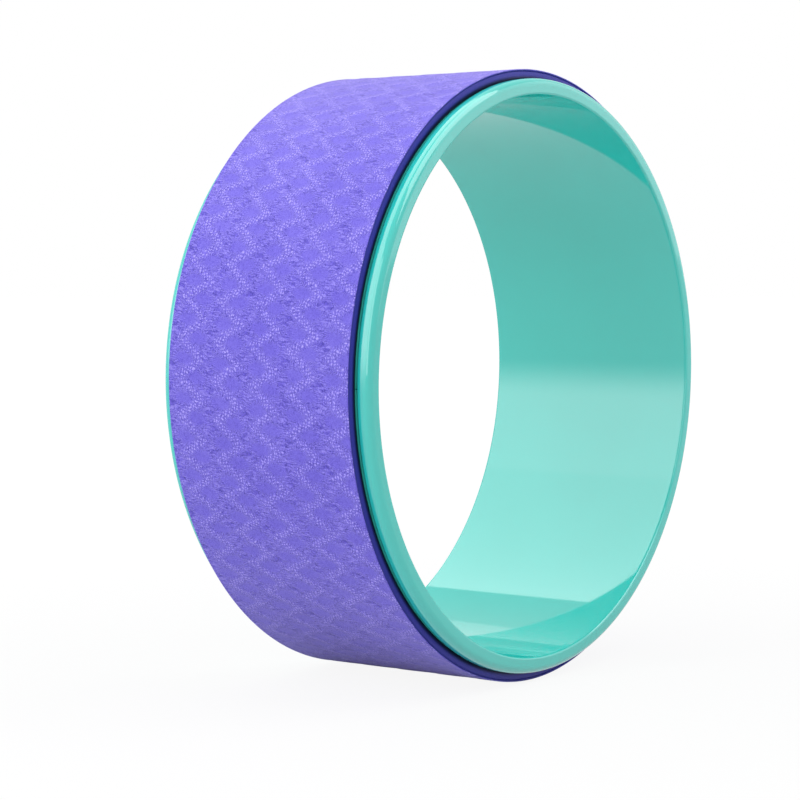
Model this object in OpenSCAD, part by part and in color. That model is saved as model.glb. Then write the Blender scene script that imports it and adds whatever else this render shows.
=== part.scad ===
// Yoga wheel: a ribbed plastic hoop with a rolled lip at each end, and a two-layer
// foam tread wrapped round the channel between the lips. It stands on its tread.
// Origin at the wheel's centre, centre line along Y, front lip towards -Y, +Z up.

/* [Hoop] */
// Width over the two lips
wheel_w = 130; // [90:1:170]
// Diameter of the open bore
bore_d = 293; // [220:1:400]
// Thickness of the wall round the bore
wall_t = 3; // [2:0.1:5]
// Height of the ribs on the outside of the wall
rib_h = 3.1; // [2:0.1:8]

/* [Lips] */
// Thickness of each lip along the centre line
lip_t = 8; // [5:0.1:12]
// Thickness of the walls round each lip's core
lip_wall_t = 3; // [2:0.1:4]
// Radius of each lip's outer corner
lip_corner_r = 4; // [0.5:0.1:4]
// Radius of the corner between each lip's face and the bore
bore_corner_r = 1.2; // [0.2:0.1:3]
// Radius of each lip's corner beside the tread
groove_corner_r = 2; // [0.1:0.1:2.5]

/* [Ribs] */
// Number of ribs that run round the hoop
hoop_ribs = 4; // [1:1:6]
// Number of ribs that run across the hoop
cross_ribs = 48; // [24:4:60]
// Thickness of a rib at its top
rib_tip_t = 1.8; // [1:0.1:3]
// Extra thickness of a rib at its root, for draft
rib_draft = 0.5; // [0:0.1:1]

/* [Bed band] */
// Thickness of the strip that closes the ribs
bed_t = 1.2; // [0.8:0.1:3]
// Clearance between the strip's edge and each lip
bed_gap = 0.3; // [0.1:0.1:1]
// Gap between the strip's two ends
bed_joint = 0.6; // [0.2:0.1:2]
// Angle of the strip's joint round the wheel, from +X towards +Z
bed_joint_a = 180; // [0:5:355]

/* [Tread] */
// Thickness of the adhesive film under the tread
film_t = 0.2; // [0.1:0.05:0.5]
// How far the film's edge lies inside the tread's edge
film_inset = 1; // [0:0.5:5]
// Thickness of the tread's base layer
base_t = 5; // [2:0.1:10]
// Thickness of the tread's top layer
top_t = 1; // [0.6:0.1:4]
// How far the tread stands out past the lips
tread_proud = 5; // [1.5:0.1:5.5]
// Gap between the tread's edge and each lip
tread_gap = 0.8; // [0.5:0.1:3]
// Radius of the top layer's outer edges
tread_edge_r = 0.4; // [0.2:0.1:1.6]
// Gap between the tread's two butted ends
tread_joint = 0.4; // [0.2:0.1:2]
// Angle of the tread's joint round the wheel, from +X towards +Z
tread_joint_a = 0; // [0:5:355]

/* [Hidden] */
$fn = 180;

half_w = wheel_w / 2;
channel_w = wheel_w - 2 * lip_t;
bed_w = channel_w - 2 * bed_gap;
tread_w = channel_w - 2 * tread_gap;
film_w = tread_w - 2 * film_inset;

bore_r = bore_d / 2;
wall_r = bore_r + wall_t;
rib_r = wall_r + rib_h;
bed_r = rib_r + bed_t;
film_r = bed_r + film_t;
base_r = film_r + base_t;
tread_r = base_r + top_t;
lip_r = tread_r - tread_proud;

// A fillet never takes more than its wall
corner_r = min(lip_corner_r, lip_t - groove_corner_r, lip_r - bore_r - bore_corner_r);
edge_r = min(tread_edge_r, top_t);
groove_r = min(groove_corner_r, lip_r - wall_r);
// The core opens into the channel, where the tread covers it
core_h = lip_r - lip_wall_t - wall_r;
core_w = lip_t - lip_wall_t;
rib_root_t = rib_tip_t + rib_draft;
rib_pitch = channel_w / (hoop_ribs + 1);
// Ribs start this deep inside the wall, so that they are one piece with it
rib_root_in = wall_t / 2;

// Turns a profile, drawn as x = radius and y = place along the centre line, about Y
module turned() {
  rotate([-90, 0, 0]) mirror([0, 0, 1]) rotate_extrude() children();
}

// Rectangle from radius r0 to r1 and from y0 to y1
module band_profile(r0, r1, y0, y1) {
  translate([r0, y0]) square([r1 - r0, y1 - y0]);
}

// What a fillet of radius r takes off a corner at [x, y]; sx and sy point into the solid
module corner_waste(x, y, r, sx, sy) {
  difference() {
    translate([x - (sx < 0 ? r : 0.01), y - (sy < 0 ? r : 0.01)]) square(r + 0.01);
    translate([x + sx * r, y + sy * r]) circle(r);
  }
}

module lip_profile() {
  difference() {
    band_profile(bore_r, lip_r, half_w - lip_t, half_w);
    corner_waste(lip_r, half_w, corner_r, -1, -1);
    corner_waste(bore_r, half_w, bore_corner_r, 1, -1);
    corner_waste(lip_r, half_w - lip_t, groove_r, -1, 1);
    if (core_h > 0 && core_w > 0) translate([wall_r, half_w - lip_t - 1]) square([core_h, core_w + 1]);
  }
}

// Wall, both lips and the ribs that run round
module rim_profile() {
  band_profile(bore_r, wall_r, -channel_w / 2, channel_w / 2);
  lip_profile();
  mirror([0, 1]) lip_profile();
  for (i = [1 : hoop_ribs]) translate([wall_r, i * rib_pitch - channel_w / 2])
    polygon([
      [-rib_root_in, -rib_root_t / 2], [0, -rib_root_t / 2], [rib_h, -rib_tip_t / 2],
      [rib_h, rib_tip_t / 2], [0, rib_root_t / 2], [-rib_root_in, rib_root_t / 2]
    ]);
}

// One rib across, at the +X side, from one lip's end wall through both cores to the other
// lip's end wall; its top is cut round afterwards
module cross_rib() {
  over = 0.2;
  tip = rib_tip_t / 2 - rib_draft / 2 * over / rib_h;
  rib_half_l = half_w - lip_wall_t / 2;
  translate([0, rib_half_l, 0]) rotate([90, 0, 0])
    linear_extrude(2 * rib_half_l)
      polygon([
        [wall_r - rib_root_in, -rib_root_t / 2], [wall_r, -rib_root_t / 2],
        [rib_r + over, -tip], [rib_r + over, tip],
        [wall_r, rib_root_t / 2], [wall_r - rib_root_in, rib_root_t / 2]
      ]);
}

module rim() {
  color("mediumturquoise") {
    turned() rim_profile();
    intersection() {
      for (i = [0 : cross_ribs - 1]) rotate([0, -(i + 0.5) * 360 / cross_ribs, 0]) cross_rib();
      turned() band_profile(bore_r + wall_t / 4, rib_r, -half_w, half_w);
    }
  }
}

// Radial slit where a wrapped strip's ends meet, through radii r0 to r1
module joint_slit(a, gap, r0, r1) {
  rotate([0, -a, 0]) translate([r0 - 1, -half_w, -gap / 2]) cube([r1 - r0 + 2, wheel_w, gap]);
}

// A strip of width w wrapped from radius r0 to r1, with its ends butted at angle a
module wrapped_strip(r0, r1, w, a, gap) {
  difference() {
    turned() band_profile(r0, r1, -w / 2, w / 2);
    joint_slit(a, gap, r0, r1);
  }
}

module bed_band() {
  color("lightseagreen") wrapped_strip(rib_r, bed_r, bed_w, bed_joint_a, bed_joint);
}

module adhesive_film() {
  color("ivory") wrapped_strip(bed_r, film_r, film_w, tread_joint_a, tread_joint);
}

module tread_base() {
  color("midnightblue") wrapped_strip(film_r, base_r, tread_w, tread_joint_a, tread_joint);
}

module tread_top() {
  color("mediumslateblue") difference() {
    turned() difference() {
      band_profile(base_r, tread_r, -tread_w / 2, tread_w / 2);
      corner_waste(tread_r, tread_w / 2, edge_r, -1, -1);
      corner_waste(tread_r, -tread_w / 2, edge_r, -1, 1);
    }
    joint_slit(tread_joint_a, tread_joint, base_r, tread_r);
  }
}

rim();
bed_band();
adhesive_film();
tread_base();
tread_top();
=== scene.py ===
import math

import bpy
import numpy as np
from mathutils import Matrix, Vector


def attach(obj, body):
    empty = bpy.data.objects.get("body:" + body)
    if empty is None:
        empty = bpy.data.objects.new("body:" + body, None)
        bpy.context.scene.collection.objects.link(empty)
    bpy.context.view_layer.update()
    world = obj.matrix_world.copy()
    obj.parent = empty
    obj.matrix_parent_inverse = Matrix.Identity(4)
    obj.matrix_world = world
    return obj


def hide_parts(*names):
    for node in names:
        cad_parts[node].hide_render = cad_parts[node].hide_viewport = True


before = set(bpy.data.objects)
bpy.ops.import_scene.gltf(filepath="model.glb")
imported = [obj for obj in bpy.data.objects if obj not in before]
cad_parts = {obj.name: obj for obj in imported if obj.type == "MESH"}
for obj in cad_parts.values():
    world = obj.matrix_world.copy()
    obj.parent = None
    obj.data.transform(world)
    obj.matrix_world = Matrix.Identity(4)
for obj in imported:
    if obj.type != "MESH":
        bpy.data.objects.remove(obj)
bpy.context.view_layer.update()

# The wheel's sizes, in metres, as in the part's source
HALF_W = 0.065
BORE_R = 0.1465
WALL_R = 0.1495
RIB_R = 0.1526
FILM_R = 0.154
BASE_R = 0.159
TREAD_R = 0.160
LIP_R = 0.155
LIP_T = 0.008
LIP_WALL_T = 0.003
LIP_CORNER_R = 0.004
BORE_CORNER_R = 0.0012
GROOVE_CORNER_R = 0.002
CHANNEL_HALF = HALF_W - LIP_T
TREAD_HALF = CHANNEL_HALF - 0.0008
TREAD_EDGE_R = 0.0004
TREAD_JOINT = 0.0004
HOOP_RIBS = 4
CROSS_RIBS = 48
RIB_TIP_T = 0.0018
RIB_ROOT_T = 0.0023

MM = 0.001
TURN = 2 * math.pi

# Linear colours of the foam's cut edges: its own indigo, and a near black painted shade for the shadowed
# gap beside the lip, which gives way to the indigo at EDGE_LIT_R
EDGE_COLOUR = (0.043, 0.039, 0.350)
EDGE_PAINTED_SHADE = (0.004, 0.003, 0.035)
EDGE_LIT_R = 0.1572

# Camera: the photograph's viewing angle and framing
IMAGE_SIZE = 800
SENSOR = 36.0
FOCAL_PX = 2318.1
CENTRE_COLUMN = 420
CAM_AZ = math.radians(-54.10)
CAM_EL = math.radians(3.33)
CAM_DIST = 1.24901
CAM_RIGHT = -0.01431
CAM_UP = -0.01419


def make_camera():
    """Camera at azimuth CAM_AZ from the -Y side and elevation CAM_EL, moved a little
    right and up in its own picture plane, with the shift that puts its axis at CENTRE_COLUMN."""
    back = Vector((math.sin(CAM_AZ) * math.cos(CAM_EL), -math.cos(CAM_AZ) * math.cos(CAM_EL),
                   math.sin(CAM_EL)))
    right = Vector((math.cos(CAM_AZ), math.sin(CAM_AZ), 0.0))
    up = back.cross(right)
    data = bpy.data.cameras.new("camera")
    data.sensor_width = SENSOR
    data.lens = FOCAL_PX / IMAGE_SIZE * SENSOR
    data.shift_x = (IMAGE_SIZE / 2 - CENTRE_COLUMN) / IMAGE_SIZE
    data.clip_end = 50.0
    camera = bpy.data.objects.new("camera", data)
    bpy.context.scene.collection.objects.link(camera)
    turn = Matrix((right, up, back)).transposed().to_4x4()
    place = back * CAM_DIST + right * CAM_RIGHT + up * CAM_UP
    camera.matrix_world = Matrix.Translation(place) @ turn
    bpy.context.scene.camera = camera


def mesh_object(name, points, quads, caps=(), smooth=True):
    """Makes an object at the origin from an n x 3 array of points, an m x 4 array of corners
    and rings of corners that close its ends. If the signed volume under the quads is
    negative, every face is turned over, so that the faces point outwards."""
    a, b, c, d = (points[quads[:, i]] for i in range(4))
    volume = np.sum(np.cross(b - a, c - a) * a) + np.sum(np.cross(c - a, d - a) * a)
    if volume < 0:
        quads, caps = quads[:, ::-1], [cap[::-1] for cap in caps]
    corners = np.concatenate([quads.ravel(), *caps]).astype(np.int32)
    sizes = np.array([4] * len(quads) + [len(cap) for cap in caps])
    mesh = bpy.data.meshes.new(name)
    mesh.vertices.add(len(points))
    mesh.vertices.foreach_set("co", points.astype(np.float32).ravel())
    mesh.loops.add(len(corners))
    mesh.loops.foreach_set("vertex_index", corners)
    mesh.polygons.add(len(sizes))
    mesh.polygons.foreach_set("loop_start", (np.cumsum(sizes) - sizes).astype(np.int32))
    mesh.polygons.foreach_set("use_smooth", np.full(len(sizes), smooth))
    mesh.update(calc_edges=True)
    mesh.validate()
    obj = bpy.data.objects.new(name, mesh)
    bpy.context.scene.collection.objects.link(obj)
    return obj


def grid_quads(rows, columns, wrap_rows, wrap_columns):
    """Corners of a rows x columns grid of points, closed round each way that wraps."""
    i = np.arange(rows if wrap_rows else rows - 1)
    j = np.arange(columns if wrap_columns else columns - 1)
    i, j = (grid.ravel() for grid in np.meshgrid(i, j, indexing="ij"))
    i2, j2 = (i + 1) % rows, (j + 1) % columns
    return np.stack([i * columns + j, i2 * columns + j, i2 * columns + j2, i * columns + j2], axis=1)


def arc(centre_r, centre_y, radius, start, end, steps):
    """Points of an arc in the profile plane: centre plus radius times (cos, sin)."""
    t = np.radians(np.linspace(start, end, steps))
    return np.stack([centre_r + radius * np.cos(t), centre_y + radius * np.sin(t)], axis=1)


def line(start, end, steps, edge=0.0004):
    """Points of a straight run from start to end, with one close to each end so that
    smooth shading stays flat between them."""
    start, end = np.array(start), np.array(end)
    length = np.linalg.norm(end - start)
    t = np.concatenate([[edge / length], np.linspace(0, 1, steps + 2)[1:-1], [1 - edge / length]])
    return start + (end - start) * t[:, None]


def turned(name, profile, turns):
    """Turns a closed profile of (radius, y) about Y: (r cos a, y, r sin a)."""
    a = np.arange(turns) * TURN / turns
    r, y = profile[:, 0], profile[:, 1]
    points = np.stack([np.outer(np.cos(a), r), np.tile(y, (turns, 1)), np.outer(np.sin(a), r)], axis=-1)
    return mesh_object(name, points.reshape(-1, 3), grid_quads(turns, len(profile), True, True))


def hoop_profile():
    """Half profile of the hoop, from the bore's middle out round the front lip and its core
    to the channel's middle, then mirrored."""
    face = HALF_W
    core_end = face - LIP_WALL_T
    core_r = LIP_R - LIP_WALL_T
    half = np.concatenate([
        line((BORE_R, 0.0), (BORE_R, face - BORE_CORNER_R), 6),
        arc(BORE_R + BORE_CORNER_R, face - BORE_CORNER_R, BORE_CORNER_R, 180, 90, 7),
        line((BORE_R + BORE_CORNER_R, face), (LIP_R - LIP_CORNER_R, face), 1),
        arc(LIP_R - LIP_CORNER_R, face - LIP_CORNER_R, LIP_CORNER_R, 90, 0, 15),
        line((LIP_R, face - LIP_CORNER_R), (LIP_R, CHANNEL_HALF + GROOVE_CORNER_R), 1),
        arc(LIP_R - GROOVE_CORNER_R, CHANNEL_HALF + GROOVE_CORNER_R, GROOVE_CORNER_R, 0, -90, 9),
        line((LIP_R - GROOVE_CORNER_R, CHANNEL_HALF), (core_r, CHANNEL_HALF), 0),
        line((core_r, CHANNEL_HALF), (core_r, core_end), 0),
        line((core_r, core_end), (WALL_R, core_end), 0),
        line((WALL_R, core_end), (WALL_R, 0.0), 2),
    ])
    return np.concatenate([half, half[::-1] * (1, -1)])


def make_hoop():
    hoop = turned("hoop", hoop_profile(), 600)
    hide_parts("rim")
    return hoop


def make_hoop_ribs():
    """Ribs under the tread: tapered rings round the wall and tapered bars across it."""
    root, tip = WALL_R - MM, RIB_R
    parts = []
    for i in range(1, HOOP_RIBS + 1):
        y = -CHANNEL_HALF + i * 2 * CHANNEL_HALF / (HOOP_RIBS + 1)
        section = np.array([[root, y - RIB_ROOT_T / 2], [tip, y - RIB_TIP_T / 2],
                            [tip, y + RIB_TIP_T / 2], [root, y + RIB_ROOT_T / 2]])
        parts.append(turned("ring_rib", section, 192))
    a = (np.arange(CROSS_RIBS) + 0.5) * TURN / CROSS_RIBS
    section = np.array([[root, -RIB_ROOT_T / 2], [tip, -RIB_TIP_T / 2],
                        [tip, RIB_TIP_T / 2], [root, RIB_ROOT_T / 2]])
    along = np.stack([np.cos(a), np.zeros_like(a), np.sin(a)], axis=1)
    across = np.stack([-np.sin(a), np.zeros_like(a), np.cos(a)], axis=1)
    ring = section[None, :, 0, None] * along[:, None] + section[None, :, 1, None] * across[:, None]
    ends = np.array([-1, 1]) * (HALF_W - LIP_WALL_T / 2)
    points = np.repeat(ring[:, None], 2, axis=1)
    points[..., 1] = ends[None, :, None]
    box = np.array([[0, 4, 5, 1], [1, 5, 6, 2], [2, 6, 7, 3], [3, 7, 4, 0], [0, 1, 2, 3], [7, 6, 5, 4]])
    quads = (np.arange(CROSS_RIBS)[:, None, None] * 8 + box[None]).reshape(-1, 4)
    parts.append(mesh_object("cross_rib", points.reshape(-1, 3), quads, smooth=False))
    ribs = parts[0]
    with bpy.context.temp_override(active_object=ribs, selected_editable_objects=parts):
        bpy.ops.object.join()
    ribs.name = "hoop_ribs"
    ribs.data.name = "hoop_ribs"
    ribs.data.polygons.foreach_set("use_smooth", np.zeros(len(ribs.data.polygons), dtype=bool))
    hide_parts("rim")
    return ribs


# Emboss of the tread, in millimetres: zigzag chains of small dots that run round the wheel,
# each PITCH from the next and swinging REACH to either side. A zigzag's long leg takes the
# share LONG_LEG of its period.
CELLS_ROUND = 51
PERIOD = TURN * TREAD_R / MM / CELLS_ROUND
PITCH = 23.4
REACH = 7.3
LONG_LEG = 0.55
# Share of a period by which the first kink is moved round, and by which it moves on per mm
PHASE = 0.53
SKEW = 0.0047
FIRST_CHAIN = 4.6
# Half widths of a chain, where it starts to fade and where it ends
CHAIN_CORE = 1.3
CHAIN_END = 2.5
DOT = 1.15
TEETH_PER_PERIOD = 14
# How far from a chain its cross lines go on fanning out
FAN_REACH = 6.0
OVAL_HALF_ACROSS = 6.2
OVAL_HALF_ROUND = 3.4
# A stroke's slant, start, thickness scale, and where it begins and ends from the kink
STROKE_SLOPE = 0.95
STROKE_START = 2.2
STROKE_LEAN = 0.72
STROKE_FROM = (3.0, 4.4)
STROKE_TO = (7.5, 9.5)
# Depths of the relief where there is no chain, and of the ovals and strokes on top
FIELD_DEPTH = 0.16
OVAL_DEPTH = 0.10
STROKE_DEPTH = 0.10
SLOPES = (2 * REACH / LONG_LEG / PERIOD, -2 * REACH / (1 - LONG_LEG) / PERIOD)
LEAN = tuple(1 / math.hypot(1, slope) for slope in SLOPES)


class Shade:
    """A shader value that takes part in arithmetic: each operation adds one maths node."""

    def __init__(self, tree, socket):
        self.tree, self.socket = tree, socket

    def apply(self, operation, *values):
        node = self.tree.nodes.new("ShaderNodeMath")
        node.operation = operation
        for slot, value in zip(node.inputs, values):
            if isinstance(value, Shade):
                self.tree.links.new(value.socket, slot)
            else:
                slot.default_value = value
        return Shade(self.tree, node.outputs[0])

    def __add__(self, other):
        return self.apply("ADD", self, other)

    def __sub__(self, other):
        return self.apply("SUBTRACT", self, other)

    def __rsub__(self, other):
        return self.apply("SUBTRACT", other, self)

    def __mul__(self, other):
        return self.apply("MULTIPLY", self, other)

    def __truediv__(self, other):
        return self.apply("DIVIDE", self, other)

    __radd__, __rmul__ = __add__, __mul__


NODE_NAMES = {"cos": "COSINE", "abs": "ABSOLUTE", "floor": "FLOOR", "minimum": "MINIMUM",
              "maximum": "MAXIMUM", "less": "LESS_THAN"}


def calc(name, *values):
    """The same function on arrays and on shader values, so that the mesh's relief and the
    material's fine detail come from one formula."""
    shade = next((value for value in values if isinstance(value, Shade)), None)
    return shade.apply(NODE_NAMES[name], *values) if shade else getattr(np, name)(*values)


def smooth_step(low, high, x):
    t = calc("minimum", calc("maximum", (x - low) / (high - low), 0.0), 1.0)
    return t * t * (3.0 - 2.0 * t)


def wrapped(x, period):
    """Distance from x to the nearest multiple of period, with its sign."""
    return x - period * calc("floor", x / period + 0.5)


def emboss(u, q):
    """Parts of the emboss, each from 0 to 1, at u, the way round, and q, the way towards the
    front, in mm: chain (near the zigzag centre line), dots (a lattice turned along each leg),
    teeth (lines that cross the chain and fan out at its kinks), patch (ovals midway between
    two chains, level with each kink) and stroke (a short slanting groove beside a kink)."""
    s = u / PERIOD - SKEW * q - PHASE
    f = s - calc("floor", s)
    zigzag = calc("minimum", f * (2 / LONG_LEG) - 1.0, 1.0 - (f - LONG_LEG) * (2 / (1 - LONG_LEG)))
    w = wrapped(q - FIRST_CHAIN - REACH * zigzag, PITCH)
    first = calc("less", f, LONG_LEG) * 1.0
    d = w * (LEAN[1] + (LEAN[0] - LEAN[1]) * first)
    far = calc("abs", d)
    along_first = (u + SLOPES[0] * q) * LEAN[0]
    along = along_first * first + (u + SLOPES[1] * q) * LEAN[1] * (1.0 - first)
    chain = 1.0 - smooth_step(CHAIN_CORE, CHAIN_END, far)
    dots = smooth_step(0.0, 0.65, calc("cos", along * (math.pi / DOT)) * calc("cos", d * (math.pi / DOT)))
    slope = sum(SLOPES) / 2 + (SLOPES[0] - SLOPES[1]) / 2 * calc("cos", (f - LONG_LEG / 2) * TURN)
    reach = calc("maximum", calc("minimum", w, FAN_REACH), -FAN_REACH)
    teeth = 0.5 + 0.5 * calc("cos", (u + slope * reach) * (TURN * TEETH_PER_PERIOD / PERIOD))
    across_low = wrapped(q - FIRST_CHAIN + REACH, PITCH)
    across_high = wrapped(q - FIRST_CHAIN - REACH, PITCH)
    round_low = wrapped(s, 1.0) * PERIOD
    round_high = wrapped(s - LONG_LEG, 1.0) * PERIOD
    mid_low = (PITCH / 2 - calc("abs", across_low)) / OVAL_HALF_ACROSS
    mid_high = (PITCH / 2 - calc("abs", across_high)) / OVAL_HALF_ACROSS
    oval = calc("minimum", mid_low * mid_low + round_low * round_low * (1 / OVAL_HALF_ROUND ** 2),
                mid_high * mid_high + round_high * round_high * (1 / OVAL_HALF_ROUND ** 2))
    patch = 1.0 - smooth_step(0.35, 1.15, oval)
    off_line = calc("abs", round_high - STROKE_SLOPE * (across_high - STROKE_START)) * STROKE_LEAN
    stroke = (1.0 - smooth_step(0.15, 0.6, off_line)) * smooth_step(*STROKE_FROM, across_high) * (
        1.0 - smooth_step(*STROKE_TO, across_high))
    return chain, dots, teeth, patch, stroke


def strip(name, profile, turns):
    """A strip wrapped round Y whose ends meet at +X with a small gap. The profile is one ring
    of (radius, y), or one ring per step round."""
    gap = TREAD_JOINT / TREAD_R / 2
    a = np.linspace(gap, TURN - gap, turns)
    ring = np.broadcast_to(profile, (turns, *profile.shape[-2:]))
    r, y = ring[..., 0], ring[..., 1]
    points = np.stack([r * np.cos(a)[:, None], y, r * np.sin(a)[:, None]], axis=-1)
    columns = ring.shape[1]
    first = np.arange(columns)
    caps = [first, (turns - 1) * columns + first[::-1]]
    return mesh_object(name, points.reshape(-1, 3), grid_quads(turns, columns, False, True), caps)


def make_tread_skin(face_material, edge_material):
    """The embossed layer. Its outer radius is TREAD_R less FIELD_DEPTH where there is no
    chain, OVAL_DEPTH in the ovals and STROKE_DEPTH in the strokes, each times its share from
    the emboss, and exactly TREAD_R at the edges. Its sides and ends have the edge's material."""
    turns, steps = ((880, 98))
    edge = TREAD_EDGE_R
    flat = TREAD_HALF - edge
    face_y = np.linspace(-flat, flat, steps)
    corner = arc(TREAD_R - edge, -flat, edge, -90, 0, 5)
    a = np.linspace(0, TURN, turns)
    q = -face_y / MM
    chain, _, _, patch, stroke = emboss(*np.broadcast_arrays(a[:, None] * TREAD_R / MM, q))
    sink = (FIELD_DEPTH * (1 - chain) + OVAL_DEPTH * patch + STROKE_DEPTH * stroke) * MM
    sink = sink * smooth_step(0.0, 1.5, flat / MM - np.abs(q))
    face = np.stack([TREAD_R - sink, np.broadcast_to(face_y, sink.shape)], axis=-1)
    under = [[BASE_R, TREAD_HALF], [BASE_R, 0.0], [BASE_R, -TREAD_HALF]]
    rest = np.concatenate([(corner * (1, -1))[::-1][1:], under, corner[:-1]])
    ring = np.concatenate([face, np.broadcast_to(rest, (turns, *rest.shape))], axis=1)
    skin = strip("tread_skin", ring, turns)
    loops = np.empty(len(skin.data.loops), dtype=np.int32)
    skin.data.loops.foreach_get("vertex_index", loops)
    round_share = np.repeat(np.linspace(0, 1, turns), ring.shape[1])
    across_share = 0.5 - ring[..., 1].ravel() / (2 * TREAD_HALF)
    uv = skin.data.uv_layers.new(name="tread")
    shares = np.stack([round_share[loops], across_share[loops]], axis=1)
    uv.uv.foreach_set("vector", shares.astype(np.float32).ravel())
    skin.data.materials.append(face_material)
    skin.data.materials.append(edge_material)
    # Each ring's two sides and its underside
    cut = np.isin(np.arange(ring.shape[1]), np.arange(steps + 3, steps + 7))
    cut = np.concatenate([np.tile(cut, turns - 1), [True, True]])
    skin.data.polygons.foreach_set("material_index", cut.astype(np.int32))
    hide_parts("tread_top")
    return skin


def make_tread_core():
    """The base layer, whose two edges bulge by up to 0.3 mm: TREAD_HALF less 0.3 mm plus
    0.3 mm times the sine of the share of its thickness."""
    bulge = 0.3 * MM
    t = np.linspace(0, 1, 9)
    front_y = TREAD_HALF - bulge + bulge * np.sin(math.pi * t)
    front = np.stack([FILM_R + (BASE_R - FILM_R) * t, front_y], axis=1)
    core = strip("tread_core", np.concatenate([front, (front * (1, -1))[::-1]]), 480)
    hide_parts("tread_base")
    return core


def new_material(name):
    material = bpy.data.materials.new(name)
    material.use_nodes = True
    nodes = material.node_tree.nodes
    return material, nodes, material.node_tree.links, nodes["Principled BSDF"]


def add_node(nodes, kind, **values):
    node = nodes.new(kind)
    for key, value in values.items():
        if key in node.inputs:
            node.inputs[key].default_value = value
        else:
            setattr(node, key, value)
    return node


def colour_ramp(nodes, links, source, stops):
    ramp = nodes.new("ShaderNodeValToRGB")
    while len(ramp.color_ramp.elements) < len(stops):
        ramp.color_ramp.elements.new(0.5)
    for element, (place, colour) in zip(ramp.color_ramp.elements, stops):
        element.position = place
        element.color = (*colour, 1.0)
    links.new(source, ramp.inputs["Fac"])
    return ramp


def gloss_plastic():
    """Glossy moulded plastic: even teal with the faint cloudiness and waviness of a moulding."""
    material, nodes, links, shader = new_material("gloss_teal_plastic")
    place = add_node(nodes, "ShaderNodeTexCoord")
    cloud = add_node(nodes, "ShaderNodeTexNoise", Scale=9.0, Detail=2.0)
    links.new(place.outputs["Object"], cloud.inputs["Vector"])
    ramp = colour_ramp(nodes, links, cloud.outputs["Fac"], [
        (0.35, (0.020, 0.560, 0.495)), (0.65, (0.025, 0.590, 0.525))])
    links.new(ramp.outputs["Color"], shader.inputs["Base Color"])
    wave = add_node(nodes, "ShaderNodeTexNoise", Scale=14.0, Detail=1.0)
    links.new(place.outputs["Object"], wave.inputs["Vector"])
    peel = add_node(nodes, "ShaderNodeTexNoise", Scale=420.0, Detail=2.0)
    links.new(place.outputs["Object"], peel.inputs["Vector"])
    bump_wave = add_node(nodes, "ShaderNodeBump", Strength=0.05, Distance=0.004)
    links.new(wave.outputs["Fac"], bump_wave.inputs["Height"])
    bump_peel = add_node(nodes, "ShaderNodeBump", Strength=0.03, Distance=0.0002)
    links.new(peel.outputs["Fac"], bump_peel.inputs["Height"])
    links.new(bump_wave.outputs["Normal"], bump_peel.inputs["Normal"])
    links.new(bump_peel.outputs["Normal"], shader.inputs["Normal"])
    shader.inputs["Roughness"].default_value = 0.16
    shader.inputs["Specular IOR Level"].default_value = 0.0
    shader.inputs["Coat Weight"].default_value = 1.0
    shader.inputs["Coat IOR"].default_value = 1.85
    shader.inputs["Coat Roughness"].default_value = 0.05
    return material


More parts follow.
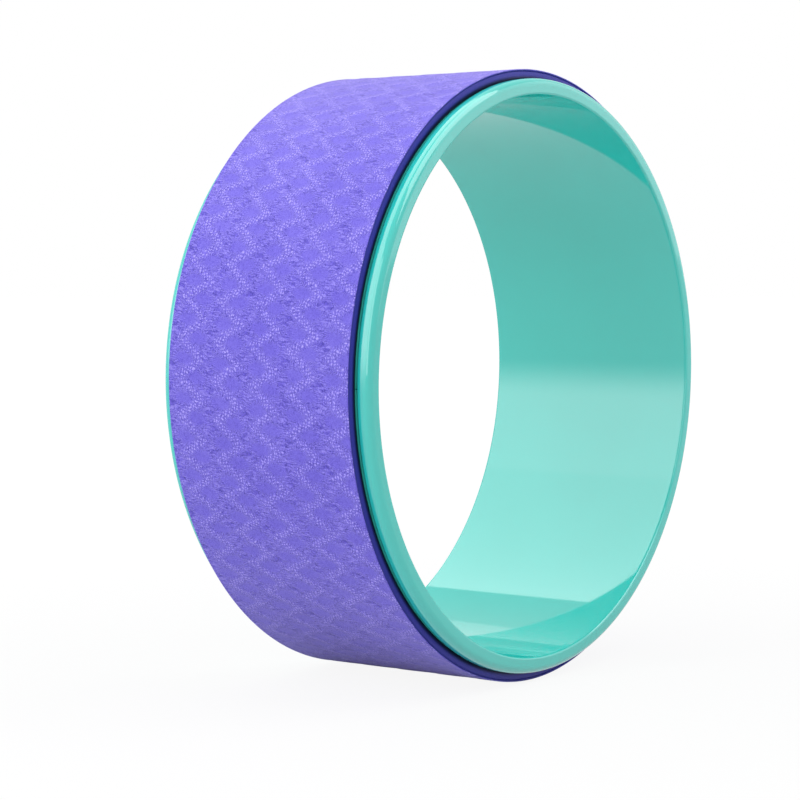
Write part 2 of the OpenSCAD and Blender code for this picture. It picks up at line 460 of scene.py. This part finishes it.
def foam_skin():
    """Embossed foam: purple, with a fine leathery grain and a faint cloudy unevenness of its own; the
    ovals, teeth and strokes lie deeper. A painted highlight makes the chains' raised dots paler, and
    painted shade darkens the teeth's low lines, the strokes and the hollows of the grain and creases."""
    material, nodes, links, shader = new_material("embossed_purple_foam")
    tree = material.node_tree
    place = add_node(nodes, "ShaderNodeTexCoord")
    split = add_node(nodes, "ShaderNodeSeparateXYZ")
    links.new(place.outputs["UV"], split.inputs[0])
    jitter = add_node(nodes, "ShaderNodeTexNoise", Scale=330.0, Detail=1.0)
    links.new(place.outputs["Object"], jitter.inputs["Vector"])
    apart = add_node(nodes, "ShaderNodeSeparateXYZ")
    links.new(jitter.outputs["Color"], apart.inputs[0])
    sway = [(Shade(tree, value) - 0.5) * 3.0 for value in apart.outputs[:2]]
    u = Shade(tree, split.outputs[0]) * (TURN * TREAD_R / MM) + sway[0]
    q = (Shade(tree, split.outputs[1]) - 0.5) * (2 * TREAD_HALF / MM) + sway[1]
    chain, dots, teeth, patch, stroke = emboss(u, q)
    fine = add_node(nodes, "ShaderNodeTexNoise", Scale=1300.0, Detail=2.0)
    links.new(place.outputs["Object"], fine.inputs["Vector"])
    wrinkle = add_node(nodes, "ShaderNodeTexNoise", Scale=640.0, Detail=1.0, Distortion=1.2)
    links.new(place.outputs["Object"], wrinkle.inputs["Vector"])
    cloud = add_node(nodes, "ShaderNodeTexNoise", Scale=30.0, Detail=2.0)
    links.new(place.outputs["Object"], cloud.inputs["Vector"])
    grain, crease, haze = (Shade(tree, texture.outputs["Fac"]) for texture in (fine, wrinkle, cloud))
    field = 1.0 - chain
    plain = 1.0 - patch
    rough = 0.5 + 0.5 * plain
    vein = smooth_step(0.0, 0.06, calc("abs", crease - 0.5))
    # Painted light: the tone follows the relief's height. It is paler on the raised dots as a painted
    # highlight, and darker in the teeth's low lines, the strokes, the creases and the grain's hollows as
    # painted shade. Only haze is the foam's own uneven tone.
    tone = 0.41 + 0.42 * chain * dots - 0.01 * chain + 0.34 * field * rough * (teeth - 0.5)
    tone = tone - 0.10 * stroke + rough * (0.5 * (grain - 0.5) + 0.36 * (vein - 0.8)) + 0.12 * (haze - 0.5)
    ramp = colour_ramp(nodes, links, tone.socket, [
        (0.0, (0.060, 0.045, 0.380)), (0.38, (0.152, 0.117, 0.685)), (1.0, (0.470, 0.405, 0.990))])
    links.new(ramp.outputs["Color"], shader.inputs["Base Color"])
    height = 0.50 * chain * dots + 0.30 * field * teeth * (1.0 - 0.7 * patch) - 0.4 * stroke
    height = height + 0.55 * grain + 0.45 * rough * vein
    bump = add_node(nodes, "ShaderNodeBump", Strength=0.8, Distance=0.00022)
    links.new(height.socket, bump.inputs["Height"])
    links.new(bump.outputs["Normal"], shader.inputs["Normal"])
    shader.inputs["Roughness"].default_value = 0.6
    shader.inputs["Specular IOR Level"].default_value = 0.0
    shader.inputs["Sheen Weight"].default_value = 0.5
    shader.inputs["Sheen Roughness"].default_value = 0.5
    shader.inputs["Sheen Tint"].default_value = (0.80, 0.74, 1.0, 1.0)
    return material


def foam_core():
    """Cut edge of dark indigo foam: fine closed cells. Painted shade turns it nearly black down beside the
    lip, where the gap lies in shadow; from EDGE_LIT_R outwards it is its own indigo."""
    material, nodes, links, shader = new_material("indigo_foam_edge")
    tree = material.node_tree
    place = add_node(nodes, "ShaderNodeTexCoord")
    cells = add_node(nodes, "ShaderNodeTexVoronoi", Scale=1100.0)
    links.new(place.outputs["Object"], cells.inputs["Vector"])
    flat = add_node(nodes, "ShaderNodeVectorMath", operation="MULTIPLY")
    flat.inputs[1].default_value = (1.0, 0.0, 1.0)
    links.new(place.outputs["Object"], flat.inputs[0])
    length = add_node(nodes, "ShaderNodeVectorMath", operation="LENGTH")
    links.new(flat.outputs["Vector"], length.inputs[0])
    # Painted shade: the edge's colour falls to near black towards the lip, where the gap beside it lies in
    # shadow.
    lit = smooth_step(LIP_R, EDGE_LIT_R, Shade(tree, length.outputs["Value"]))
    tone = lit * (0.85 + 0.3 * Shade(tree, cells.outputs["Distance"]))
    ramp = colour_ramp(nodes, links, tone.socket, [(0.0, EDGE_PAINTED_SHADE), (1.0, EDGE_COLOUR)])
    links.new(ramp.outputs["Color"], shader.inputs["Base Color"])
    bump = add_node(nodes, "ShaderNodeBump", Strength=0.25, Distance=0.00015)
    links.new(cells.outputs["Distance"], bump.inputs["Height"])
    links.new(bump.outputs["Normal"], shader.inputs["Normal"])
    shader.inputs["Roughness"].default_value = 0.45
    shader.inputs["Specular IOR Level"].default_value = 0.2
    return material


def plain_strip(name, low, high, roughness):
    """A hidden strip: two near shades in long streaks round the wheel."""
    material, nodes, links, shader = new_material(name)
    place = add_node(nodes, "ShaderNodeTexCoord")
    streak = add_node(nodes, "ShaderNodeTexNoise", Scale=60.0, Detail=2.0)
    links.new(place.outputs["Object"], streak.inputs["Vector"])
    ramp = colour_ramp(nodes, links, streak.outputs["Fac"], [(0.3, low), (0.7, high)])
    links.new(ramp.outputs["Color"], shader.inputs["Base Color"])
    shader.inputs["Roughness"].default_value = roughness
    return material


def dress(obj, material):
    obj.data.materials.clear()
    obj.data.materials.append(material)


def dress_node(name, material):
    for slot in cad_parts[name].material_slots:
        slot.material = material


FLOOR_R = 14.0
# Within SHADOW_NEAR of the centre the floor shows SHADOW_SHARE of its shading, and none
# from SHADOW_FAR on
SHADOW_NEAR = 0.30
SHADOW_FAR = 0.9
SHADOW_SHARE = 0.11
# Height at which the wall of light meets the ceiling of light
CEILING_Z = 2.3
FILL_LEVEL = 0.30


def seen_directly(nodes, links):
    """1 for camera, glossy and transmission rays, and 0 for the rest."""
    ray = add_node(nodes, "ShaderNodeLightPath")
    seen = ray.outputs["Is Camera Ray"]
    for name in ("Is Glossy Ray", "Is Transmission Ray"):
        either = add_node(nodes, "ShaderNodeMath", operation="MAXIMUM")
        links.new(seen, either.inputs[0])
        links.new(ray.outputs[name], either.inputs[1])
        seen = either.outputs[0]
    return seen


def make_floor(low_z):
    """A round pale floor. Close to the wheel it keeps the shadow; further off what the
    camera sees of it turns to even white."""
    a = np.arange(96) * TURN / 96
    rim = np.stack([FLOOR_R * np.cos(a), FLOOR_R * np.sin(a), np.full(96, low_z)], axis=1)
    mesh = bpy.data.meshes.new("floor")
    mesh.from_pydata(rim.tolist(), [], [list(range(96))])
    floor = bpy.data.objects.new("floor", mesh)
    bpy.context.scene.collection.objects.link(floor)
    material, nodes, links, shader = new_material("pale_floor")
    shader.inputs["Base Color"].default_value = (0.62, 0.62, 0.63, 1.0)
    shader.inputs["Roughness"].default_value = 0.9
    shader.inputs["Specular IOR Level"].default_value = 0.1
    white = add_node(nodes, "ShaderNodeEmission", Color=(1.0, 1.0, 1.0, 1.0), Strength=1.02)
    place = add_node(nodes, "ShaderNodeTexCoord")
    length = add_node(nodes, "ShaderNodeVectorMath", operation="LENGTH")
    links.new(place.outputs["Object"], length.inputs[0])
    share = add_node(nodes, "ShaderNodeMapRange")
    share.inputs["From Min"].default_value = SHADOW_NEAR
    share.inputs["From Max"].default_value = SHADOW_FAR
    share.inputs["To Min"].default_value = 1.0 - SHADOW_SHARE
    share.inputs["To Max"].default_value = 1.0
    links.new(length.outputs["Value"], share.inputs["Value"])
    both = add_node(nodes, "ShaderNodeMath", operation="MULTIPLY")
    links.new(share.outputs["Result"], both.inputs[0])
    links.new(seen_directly(nodes, links), both.inputs[1])
    mix = add_node(nodes, "ShaderNodeMixShader")
    links.new(both.outputs[0], mix.inputs["Fac"])
    links.new(shader.outputs["BSDF"], mix.inputs[1])
    links.new(white.outputs["Emission"], mix.inputs[2])
    links.new(mix.outputs["Shader"], nodes["Material Output"].inputs["Surface"])
    floor.data.materials.append(material)


def make_world(fill_level):
    """White where the camera or a reflection sees it, and a softer fill for the rest."""
    world = bpy.data.worlds.new("studio")
    world.use_nodes = True
    bpy.context.scene.world = world
    nodes, links = world.node_tree.nodes, world.node_tree.links
    fill = nodes["Background"]
    fill.inputs["Color"].default_value = (1.0, 1.0, 1.0, 1.0)
    fill.inputs["Strength"].default_value = fill_level
    white = add_node(nodes, "ShaderNodeBackground", Color=(1.0, 1.0, 1.0, 1.0), Strength=1.0)
    mix = add_node(nodes, "ShaderNodeMixShader")
    links.new(seen_directly(nodes, links), mix.inputs["Fac"])
    links.new(fill.outputs["Background"], mix.inputs[1])
    links.new(white.outputs["Background"], mix.inputs[2])
    links.new(mix.outputs["Shader"], nodes["World Output"].inputs["Surface"])


def softbox(name, place, facing, size, level):
    """A rectangular area lamp at place that faces the way facing, whose own surface is level
    times white: its power is level times pi times its area."""
    data = bpy.data.lights.new(name, "AREA")
    data.shape = "RECTANGLE"
    data.size, data.size_y = size
    data.energy = level * math.pi * size[0] * size[1]
    lamp = bpy.data.objects.new(name, data)
    turn = (-Vector(facing)).to_track_quat("Z", "Y").to_matrix().to_4x4()
    lamp.matrix_world = Matrix.Translation(place) @ turn
    bpy.context.scene.collection.objects.link(lamp)


def make_lights():
    """A wall of light behind on the left, in strips that grow dimmer towards its foot, a
    ceiling of light that joins it, a large softbox above in front, others in front on both
    sides, and a weak one behind on the right."""
    heights = [*np.linspace(-0.155, 0.445, 13), CEILING_Z]
    for low, high in zip(heights, heights[1:]):
        middle = (low + high) / 2
        level = 1.8 * smooth_step(-0.24, 0.48, middle)
        softbox("back_left_softbox", (-2.2, 1.25, middle), (1, 0, 0), (3.5, high - low), level)
    softbox("overhead_softbox", (-0.56, 1.45, CEILING_Z), (0, 0, -1), (3.28, 3.1), 1.6)
    softbox("front_right_softbox", (2.3, -1.55, 1.05), (-0.83, 0.56, -0.2), (2.6, 2.0), 0.7)
    softbox("top_front_softbox", (0.45, -1.25, 2.0), (-0.19, 0.53, -0.83), (2.3, 1.9), 2.25)
    softbox("back_right_softbox", (2.0, 1.7, 1.0), (-0.75, -0.62, -0.28), (1.4, 1.0), 0.4)
    softbox("front_left_softbox", (-2.2, -1.1, 0.95), (0.9, 0.42, -0.25), (0.9, 1.8), 1.9)


def main():
    scene = bpy.context.scene
    scene.view_settings.view_transform = "Standard"
    make_camera()
    make_world(FILL_LEVEL)
    make_lights()
    make_floor(-TREAD_R)
    plastic = gloss_plastic()
    hoop = make_hoop()
    dress(hoop, plastic)
    ribs = make_hoop_ribs()
    dress(ribs, plastic)
    edge = foam_core()
    skin = make_tread_skin(foam_skin(), edge)
    core = make_tread_core()
    dress(core, edge)
    dress_node("bed_band", plain_strip("bed_plastic", (0.03, 0.45, 0.38), (0.04, 0.52, 0.44), 0.45))
    dress_node("adhesive_film", plain_strip("film", (0.70, 0.68, 0.60), (0.78, 0.76, 0.68), 0.35))
    for piece in (hoop, ribs, skin, core):
        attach(piece, "root")


main()
